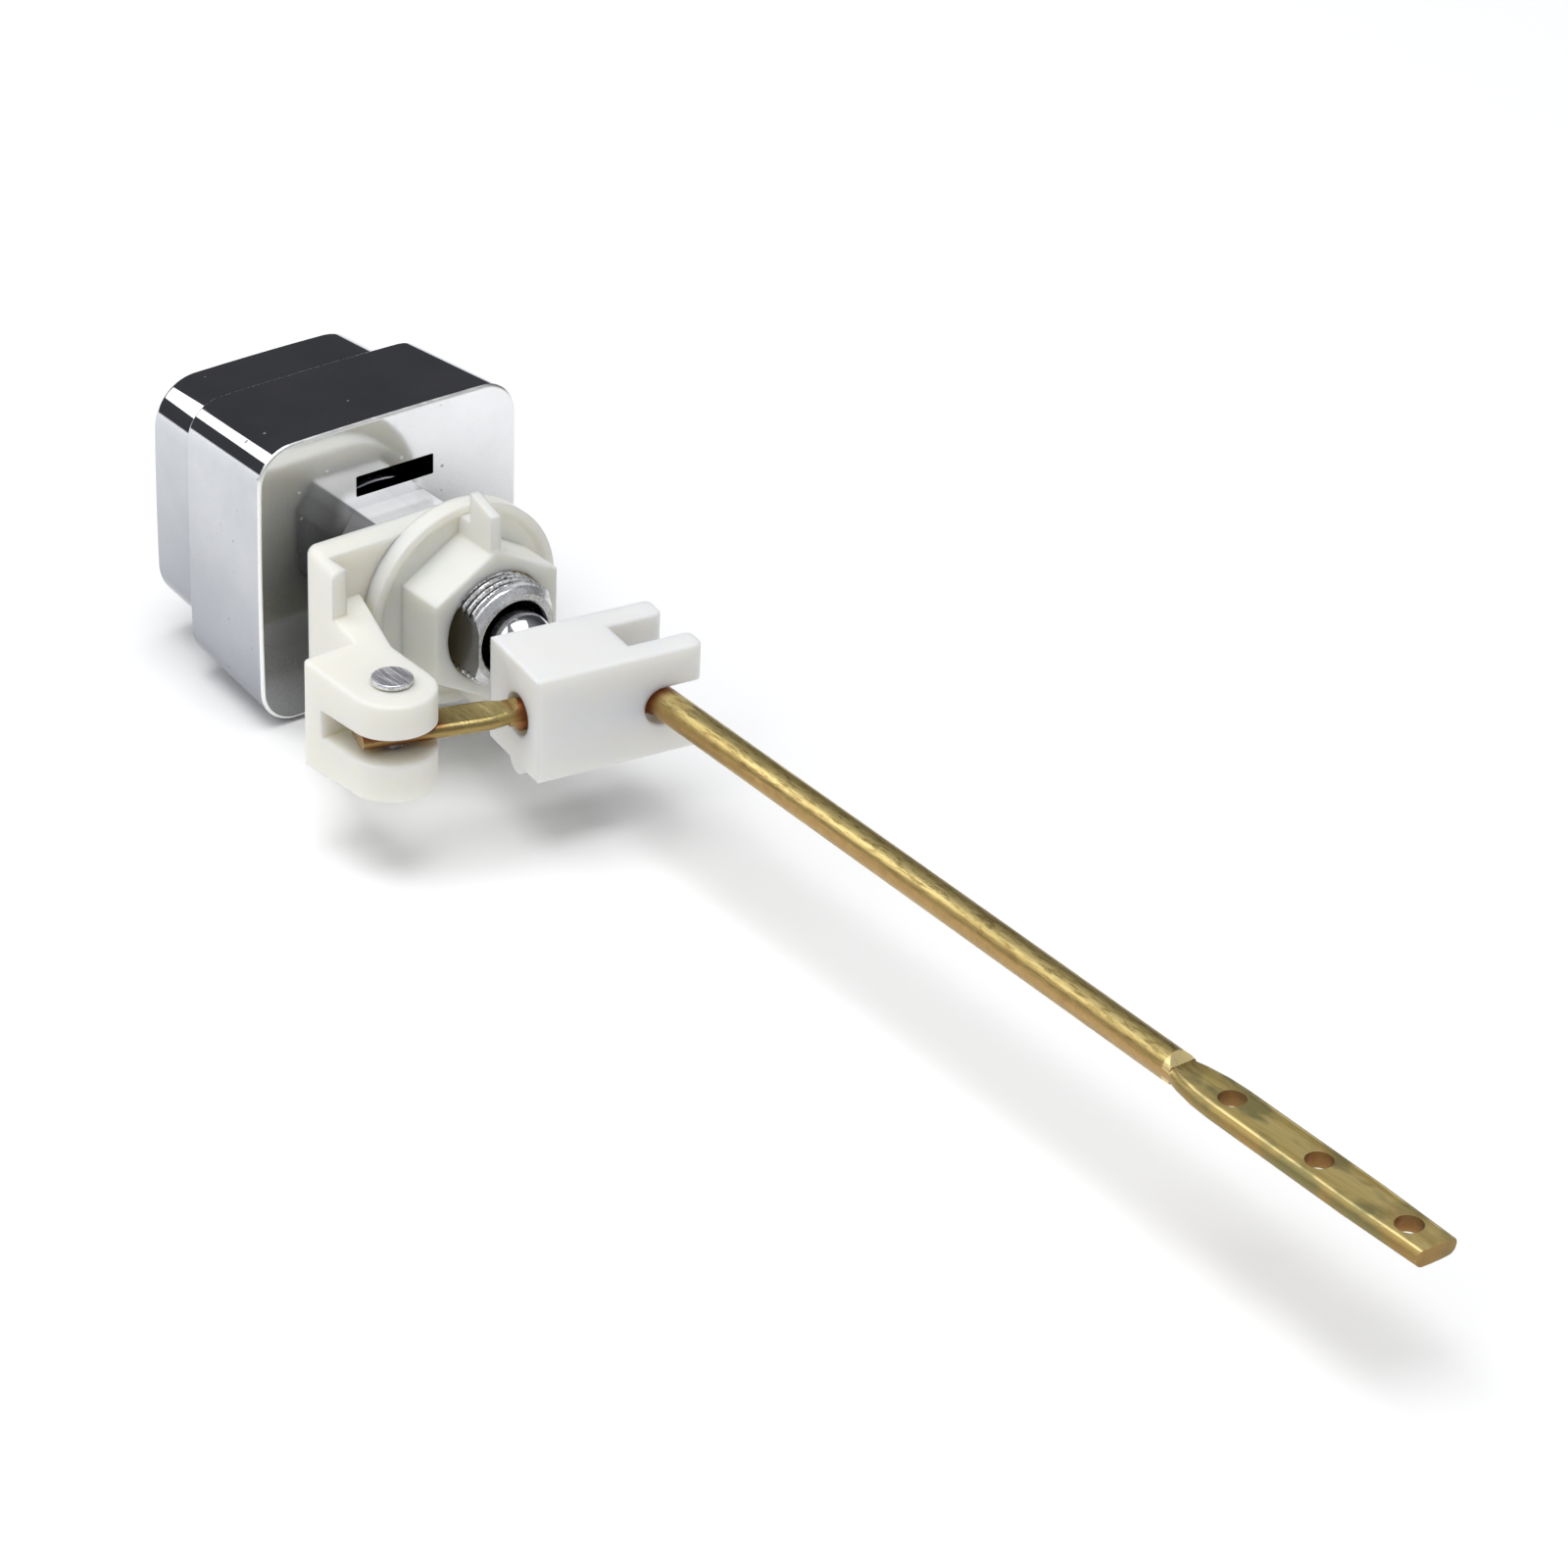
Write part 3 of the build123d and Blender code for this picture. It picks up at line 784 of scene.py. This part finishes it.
def make_housing_shell():
    """The tapered square cup: rounded rims, open cavity, window and bore."""
    nick = random.Random(NICK_SEED)
    widen = (SEAT_WIDTH - MOUTH_WIDTH) / -mouth_y
    seat_side = 2 * housing_high[0] - BOX_INSET
    mouth_side = MOUTH_WIDTH + widen * MOUTH_EDGE
    seat_rings = edge_rings(seat_side, HOUSING_CORNER, HOUSING_CROWN, 0.0, SEAT_EDGE, -1)
    for ring in seat_rings[1:-1]:
        for index, (x, y, z) in enumerate(ring):
            rub = 1 - NICK * nick.random() ** 3
            ring[index] = (x * rub, y, z * rub)
    rings = list(reversed(seat_rings))
    rings += edge_rings(mouth_side, HOUSING_CORNER, HOUSING_CROWN, mouth_y, MOUTH_EDGE, 1)
    for chamfer, y in (
        (CAVITY_CHAMFER, mouth_y),
        (0, mouth_y + CAVITY_CHAMFER),
        (0, -FLOOR),
    ):
        width = CAVITY_WIDTH + 2 * chamfer
        rings.append(crowned_ring(width, CAVITY_CORNER + chamfer, HOUSING_CROWN, y))
    mesh = cut_window_and_bore(plain_mesh("housing_shell", *lofted(rings)))

    looks = [chrome, chrome_edge, chrome_back]
    for face in mesh.polygons:
        place = face.center / MM
        outside_cuts = max(abs(place.x), abs(place.z)) > CUTS_EXTENT
        # The back face takes the brighter tone of the plating, which is painted light.
        if face.normal.y > BACK_FACING and place.y > -BACK_DEPTH:
            face.material_index = looks.index(chrome_back)
        elif place.y > -SEAT_EDGE and outside_cuts:
            face.material_index = looks.index(chrome_edge)
    piece = finish_piece("housing_shell", mesh, looks, "mount", ["housing"])
    smooth(piece, angle=30, weighted=True)


NECK_WIDTH = 18.9
NECK_HEIGHT = 18.7
NECK_TOP = 12.7
NECK_FLANK = 10.1
NECK_CORNER = 0.35
NECK_CORNER_STEPS = 4
NECK_ROOT = -0.4  # the neck starts a little inside the housing's floor


def make_neck():
    """The square neck with its corners cut off, round the bore."""
    x, z = NECK_WIDTH / 2, NECK_HEIGHT / 2
    top, flank = NECK_TOP / 2, NECK_FLANK / 2
    points = [(top, z), (x, flank), (x, -flank), (top, -z)]
    points += [(-top, -z), (-x, -flank), (-x, flank), (-top, z)]
    outline = rounded_outline(points, NECK_CORNER, NECK_CORNER_STEPS)
    turns = [math.atan2(z, x) for x, z in outline]
    rings = []
    for y in (NECK_ROOT, neck_end):
        rings.append([(x, y, z) for x, z in outline])
    for y in (neck_end, NECK_ROOT):
        rings.append([(BORE * math.cos(turn), y, BORE * math.sin(turn)) for turn in turns])
    points, faces = lofted(rings, closed=True)
    piece = add_piece("housing_neck", points, faces, chrome_neck, "mount")
    smooth(piece, angle=20, weighted=True)


PILOT_RADIUS = 10.2
PILOT_HEIGHT = 2.5
OVERLAP = 0.3  # how deep a ring sinks into the wall that it stands on
CHAMFER = 0.3


def make_pilot():
    """The raised ring inside the housing that centres the spring."""
    root = -FLOOR + OVERLAP
    end = -FLOOR - PILOT_HEIGHT
    profile = [
        (BORE, root),
        (PILOT_RADIUS, root),
        (PILOT_RADIUS, end + CHAMFER),
        (PILOT_RADIUS - CHAMFER, end),
        (BORE, end),
    ]
    points, faces = lofted(lathe(profile), closed=True)
    piece = add_piece("spring_pilot", points, faces, chrome, "mount")
    smooth(piece, angle=30)


# ---------------------------------------------------------------- threaded shank

THREAD_RADIUS = 8.9
THREAD_DEPTH = 0.6
THREAD_PITCH = 1.3
THREAD_CLIMB = 0.34  # the share of the pitch that a flank takes
THREAD_CREST = 0.16  # the share of the pitch that the crest takes
ROOT_SHADE = 0.50  # below this depth the thread is dark
CREST_SHADE = 0.18  # above this depth it is bright
FLAT = 6.9
FLAT_MARGIN = 0.05
NOSE_RADIUS = 7.4
NOSE = 1.3
POCKET = 6.2
POCKET_DEPTH = 9.0
POCKET_CHAMFER = 0.25
GRIT = 0.03
GRIT_SEED = 5
SHANK_SIDES = 240
SHANK_ROWS = 210

nose_start = shank_end - NOSE
chrome_thread = thread_look(
    root=THREAD_RADIUS - ROOT_SHADE,
    crest=THREAD_RADIUS - CREST_SHADE,
    nose_y=nose_start,
    flat=FLAT,
)


def thread_wave(share):
    """The height of a rounded thread, 0 in the root and 1 on the crest."""
    share = share % 1.0
    if share < THREAD_CLIMB:
        return 0.5 - 0.5 * math.cos(math.pi * share / THREAD_CLIMB)
    if share < THREAD_CLIMB + THREAD_CREST:
        return 1.0
    if share < 2 * THREAD_CLIMB + THREAD_CREST:
        fallen = share - THREAD_CLIMB - THREAD_CREST
        return 0.5 + 0.5 * math.cos(math.pi * fallen / THREAD_CLIMB)
    return 0.0


def shank_radius(turn, y):
    """The threaded shank's radius, cut by its two flats and its nose."""
    wave = thread_wave((y / THREAD_PITCH) - turn / (2 * math.pi))
    radius = THREAD_RADIUS - THREAD_DEPTH * (1 - wave)
    into_nose = (y - nose_start) / NOSE
    if into_nose > 0:
        radius = min(radius, THREAD_RADIUS - into_nose * (THREAD_RADIUS - NOSE_RADIUS))
    across = abs(math.cos(turn))
    if radius * across > FLAT:
        radius = FLAT / across
    return radius


def make_shank():
    """The threaded, double-flatted end of the housing with its stepped bore."""
    grit = random.Random(GRIT_SEED)
    rings = []
    for row in range(SHANK_ROWS + 1):
        y = neck_end + (shank_end - neck_end) * row / SHANK_ROWS
        ring = []
        for step in range(SHANK_SIDES):
            turn = 2 * math.pi * step / SHANK_SIDES
            radius = shank_radius(turn, y)
            off_flat = radius * abs(math.cos(turn)) < FLAT - FLAT_MARGIN
            if row < SHANK_ROWS and off_flat:
                radius -= GRIT * grit.random()
            ring.append((radius * math.cos(turn), y, radius * math.sin(turn)))
        rings.append(ring)
    inner = [
        (POCKET + POCKET_CHAMFER, shank_end),
        (POCKET, shank_end - POCKET_CHAMFER),
        (POCKET, shank_end - POCKET_DEPTH),
        (BORE, shank_end - POCKET_DEPTH),
        (BORE, neck_end),
    ]
    rings += lathe(inner, SHANK_SIDES)
    points, faces = lofted(rings, closed=True)
    piece = add_piece("threaded_shank", points, faces, chrome_thread, "mount")
    smooth(piece, angle=34)


make_housing_shell()
make_neck()
make_pilot()
make_shank()

# ---------------------------------------------------------------- button and rod

BUTTON_FACE_WIDTH = 39.7
SKIRT_WIDTH = 41.0
BUTTON_CORNER = 7.9
BUTTON_CROWN = 0.3
BUTTON_EDGE = 1.0
BUTTON_EDGE_DRAFT = 0.09
BUTTON_WALL = 1.8
FACE_WALL = 2.2
BOSS_RADIUS = 7.5
BOSS_LENGTH = 9.0
SOCKET = 5.02
ROD_RADIUS = 5.0
ROD_EDGE = 0.5
ROD_EDGE_BULGE = 0.12
ROD_SIDES = 80
DOME_STEPS = 16

button_low, button_high = corners("push_button")
button_inside = button_low[1] + FACE_WALL


def make_button_cap():
    """The square cap: drafted head, straight skirt and hollow."""
    face = BUTTON_FACE_WIDTH + BUTTON_EDGE_DRAFT
    head = edge_rings(face, BUTTON_CORNER, BUTTON_CROWN, button_low[1], BUTTON_EDGE, 1)
    hollow = BUTTON_FACE_WIDTH - 2 * BUTTON_WALL
    rings = list(reversed(head))
    for width, corner, y in (
        (SKIRT_WIDTH, BUTTON_CORNER, mouth_y),
        (SKIRT_WIDTH, BUTTON_CORNER, button_high[1]),
        (hollow, BUTTON_CORNER - BUTTON_WALL, button_high[1]),
        (hollow, BUTTON_CORNER - BUTTON_WALL, button_inside),
    ):
        rings.append(crowned_ring(width, corner, BUTTON_CROWN, y))
    points, faces = lofted(rings)
    piece = add_piece(
        "push_button_cap", points, faces, chrome, "button", ["push_button"]
    )
    smooth(piece, angle=30, weighted=True)


def make_button_boss():
    """The boss in the cap that holds the rod, with the ring that centres the spring."""
    root = button_inside - OVERLAP
    step = button_inside + PILOT_HEIGHT
    end = button_inside + BOSS_LENGTH
    profile = [
        (SOCKET, root),
        (PILOT_RADIUS, root),
        (PILOT_RADIUS, step),
        (BOSS_RADIUS, step),
        (BOSS_RADIUS, end - CHAMFER),
        (BOSS_RADIUS - CHAMFER, end),
        (SOCKET, end),
    ]
    points, faces = lofted(lathe(profile), closed=True)
    piece = add_piece("button_boss", points, faces, chrome, "button")
    smooth(piece, angle=30)


def make_rod():
    """The push rod with its domed end."""
    low, high = corners("push_rod")
    profile = [
        (0.0, low[1]),
        (ROD_RADIUS - ROD_EDGE, low[1]),
        (ROD_RADIUS - ROD_EDGE_BULGE, low[1] + ROD_EDGE_BULGE),
        (ROD_RADIUS, low[1] + ROD_EDGE),
    ]
    dome_y = high[1] - ROD_RADIUS
    for step in range(DOME_STEPS + 1):
        turn = math.pi / 2 * step / DOME_STEPS
        profile.append((ROD_RADIUS * math.cos(turn), dome_y + ROD_RADIUS * math.sin(turn)))
    points, faces = lofted(lathe(profile, ROD_SIDES), capped=False)
    piece = add_piece(
        "push_rod_body", points, faces, rod_steel, "button", ["push_rod"]
    )
    smooth(piece, angle=40)


make_button_cap()
make_button_boss()
make_rod()
copied(
    "retaining_ring", "retaining_clip", spring_steel, 0.06, segments=2, angle=30
)

# ---------------------------------------------------------------- spring

WIRE_RADIUS = 0.6
COIL_RADIUS = 11.2
COILS = 6.5
COIL_START = 235  # degrees
COIL_STEPS = 48
WIRE_SIDES = 14


def make_spring():
    """The return spring at its rest length; on the real part it shortens with the button's
    stroke, but this coil does not.
    """
    low, high = corners("return_spring")
    first_turn = math.radians(COIL_START)
    first = high[1] - WIRE_RADIUS
    last = low[1] + WIRE_RADIUS
    along = Vector((0, 1, 0))
    total = int(COILS * COIL_STEPS)
    rings = []
    for step in range(total + 1):
        share = step / total
        turn = first_turn + 2 * math.pi * COILS * share
        outward = Vector((math.cos(turn), 0, -math.sin(turn)))
        x, z = COIL_RADIUS * math.cos(turn), -COIL_RADIUS * math.sin(turn)
        centre = Vector((x, first + (last - first) * share, z))
        ring = []
        for side in range(WIRE_SIDES):
            around = 2 * math.pi * side / WIRE_SIDES
            spoke = math.cos(around) * outward + math.sin(around) * along
            ring.append(centre + WIRE_RADIUS * spoke)
        rings.append(ring)
    points, faces = lofted(rings)
    piece = add_piece(
        "coil_spring", points, faces, spring_steel, "mount", ["return_spring"]
    )
    smooth(piece, angle=50)
    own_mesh(piece)


make_spring()

# ---------------------------------------------------------------- bracket, nut and arm

copied("clamp_bracket", "bracket", ivory, 0.8, segments=4)
copied("hex_lock_nut", "lock_nut", ivory, 0.6, segments=4)
copied("pivot_rivet", "rivet", rivet_steel, 0.15)
trip_arm = copied("brass_trip_arm", "trip_arm", brass, 0.13)
trip_arm.data.materials.append(brass_edge)
trip_arm.modifiers["edge"].material = 1
copied("forked_arm_block", "arm_block", block_white, 0.6, segments=4)

# ---------------------------------------------------------------- stage

FLOOR_GAP = 0.0005
FLOOR_REACH = 3.0

floor_z = cad_box[0][2] - FLOOR_GAP
floor_mesh = bpy.data.meshes.new("floor")
floor_sides = [(-1, -1), (1, -1), (1, 1), (-1, 1)]
floor_mesh.from_pydata(
    [(x * FLOOR_REACH, y * FLOOR_REACH, floor_z) for x, y in floor_sides], [], [(0, 1, 2, 3)]
)
floor = bpy.data.objects.new("floor", floor_mesh)
bpy.context.scene.collection.objects.link(floor)
floor_look = Look("pale_floor")
floor_look.set(Roughness=0.9, Base_Color=(0.97, 0.97, 0.97, 1), Specular_IOR_Level=0.0)
floor_mesh.materials.append(floor_look.material)


def area_light(name, place, aim, size, power, size_y=None):
    """A soft white box aimed at a point, in metres and watts."""
    data = bpy.data.lights.new(name, "AREA")
    data.energy = power
    data.size = size
    if size_y:
        data.shape = "RECTANGLE"
        data.size_y = size_y
    lamp = bpy.data.objects.new(name, data)
    bpy.context.scene.collection.objects.link(lamp)
    lamp.location = place
    lamp.rotation_euler = (Vector(aim) - Vector(place)).to_track_quat("-Z", "Y").to_euler()


area_light("key", (0.22, -0.02, 2.6), (0, 0.06, 0), size=2.15, power=59)
area_light(
    "stripe_panel", (0.56, -0.73, 0.607), (0, 0, 0), size=0.85, power=2.8, size_y=0.53
)
area_light("fill", (-0.85, 1.0, 0.45), (0, 0.08, 0), size=0.7, power=0.8)
area_light("side_fill", (1.1, 0.45, 1.2), (0, 0.03, 0), size=0.8, power=3.5)

# The studio's walls: pale on the side that SKY_SIDE points to, dark on the other.
SKY_SIDE = (0.42, 0.72, 0.55)
SKY_FADE = (-0.30, 0.60)
SKY_DARK = (0.062, 0.062, 0.068, 1)
SKY_PALE = (0.27, 0.28, 0.30, 1)

world = bpy.data.worlds.new("studio")
bpy.context.scene.world = world
world.use_nodes = True
tree = world.node_tree
background = tree.nodes["Background"]
direction = tree.nodes.new("ShaderNodeTexCoord")
towards = tree.nodes.new("ShaderNodeVectorMath")
towards.operation = "DOT_PRODUCT"
towards.inputs[1].default_value = SKY_SIDE
tree.links.new(direction.outputs["Generated"], towards.inputs[0])
fade = tree.nodes.new("ShaderNodeMapRange")
fade.interpolation_type = "SMOOTHSTEP"
fade.inputs["From Min"].default_value, fade.inputs["From Max"].default_value = SKY_FADE
tree.links.new(towards.outputs["Value"], fade.inputs["Value"])
tint = tree.nodes.new("ShaderNodeMix")
tint.data_type = "RGBA"
tint.inputs[6].default_value = SKY_DARK
tint.inputs[7].default_value = SKY_PALE
tree.links.new(fade.outputs["Result"], tint.inputs["Factor"])
tree.links.new(tint.outputs[2], background.inputs["Color"])
background.inputs["Strength"].default_value = 1.0

# ---------------------------------------------------------------- camera

SENSOR = 36
LENS = 118.12
CAMERA_PLACE = (0.400187, 0.585214, 0.379375)
CAMERA_RIGHT = (-0.784869, 0.618655, 0.035311)
CAMERA_UP = (-0.291837, -0.419311, 0.859656)
CAMERA_BACK = (0.546637, 0.664413, 0.509651)
CLIP_START = 0.01
CLIP_END = 20

camera_data = bpy.data.cameras.new("camera")
camera_data.sensor_width = SENSOR
camera_data.lens = LENS
camera_data.clip_start = CLIP_START
camera_data.clip_end = CLIP_END
camera = bpy.data.objects.new("camera", camera_data)
bpy.context.scene.collection.objects.link(camera)
camera_turn = Matrix((CAMERA_RIGHT, CAMERA_UP, CAMERA_BACK)).transposed().to_4x4()
camera.matrix_world = Matrix.Translation(Vector(CAMERA_PLACE)) @ camera_turn
bpy.context.scene.camera = camera
bpy.context.scene.view_settings.view_transform = "Standard"
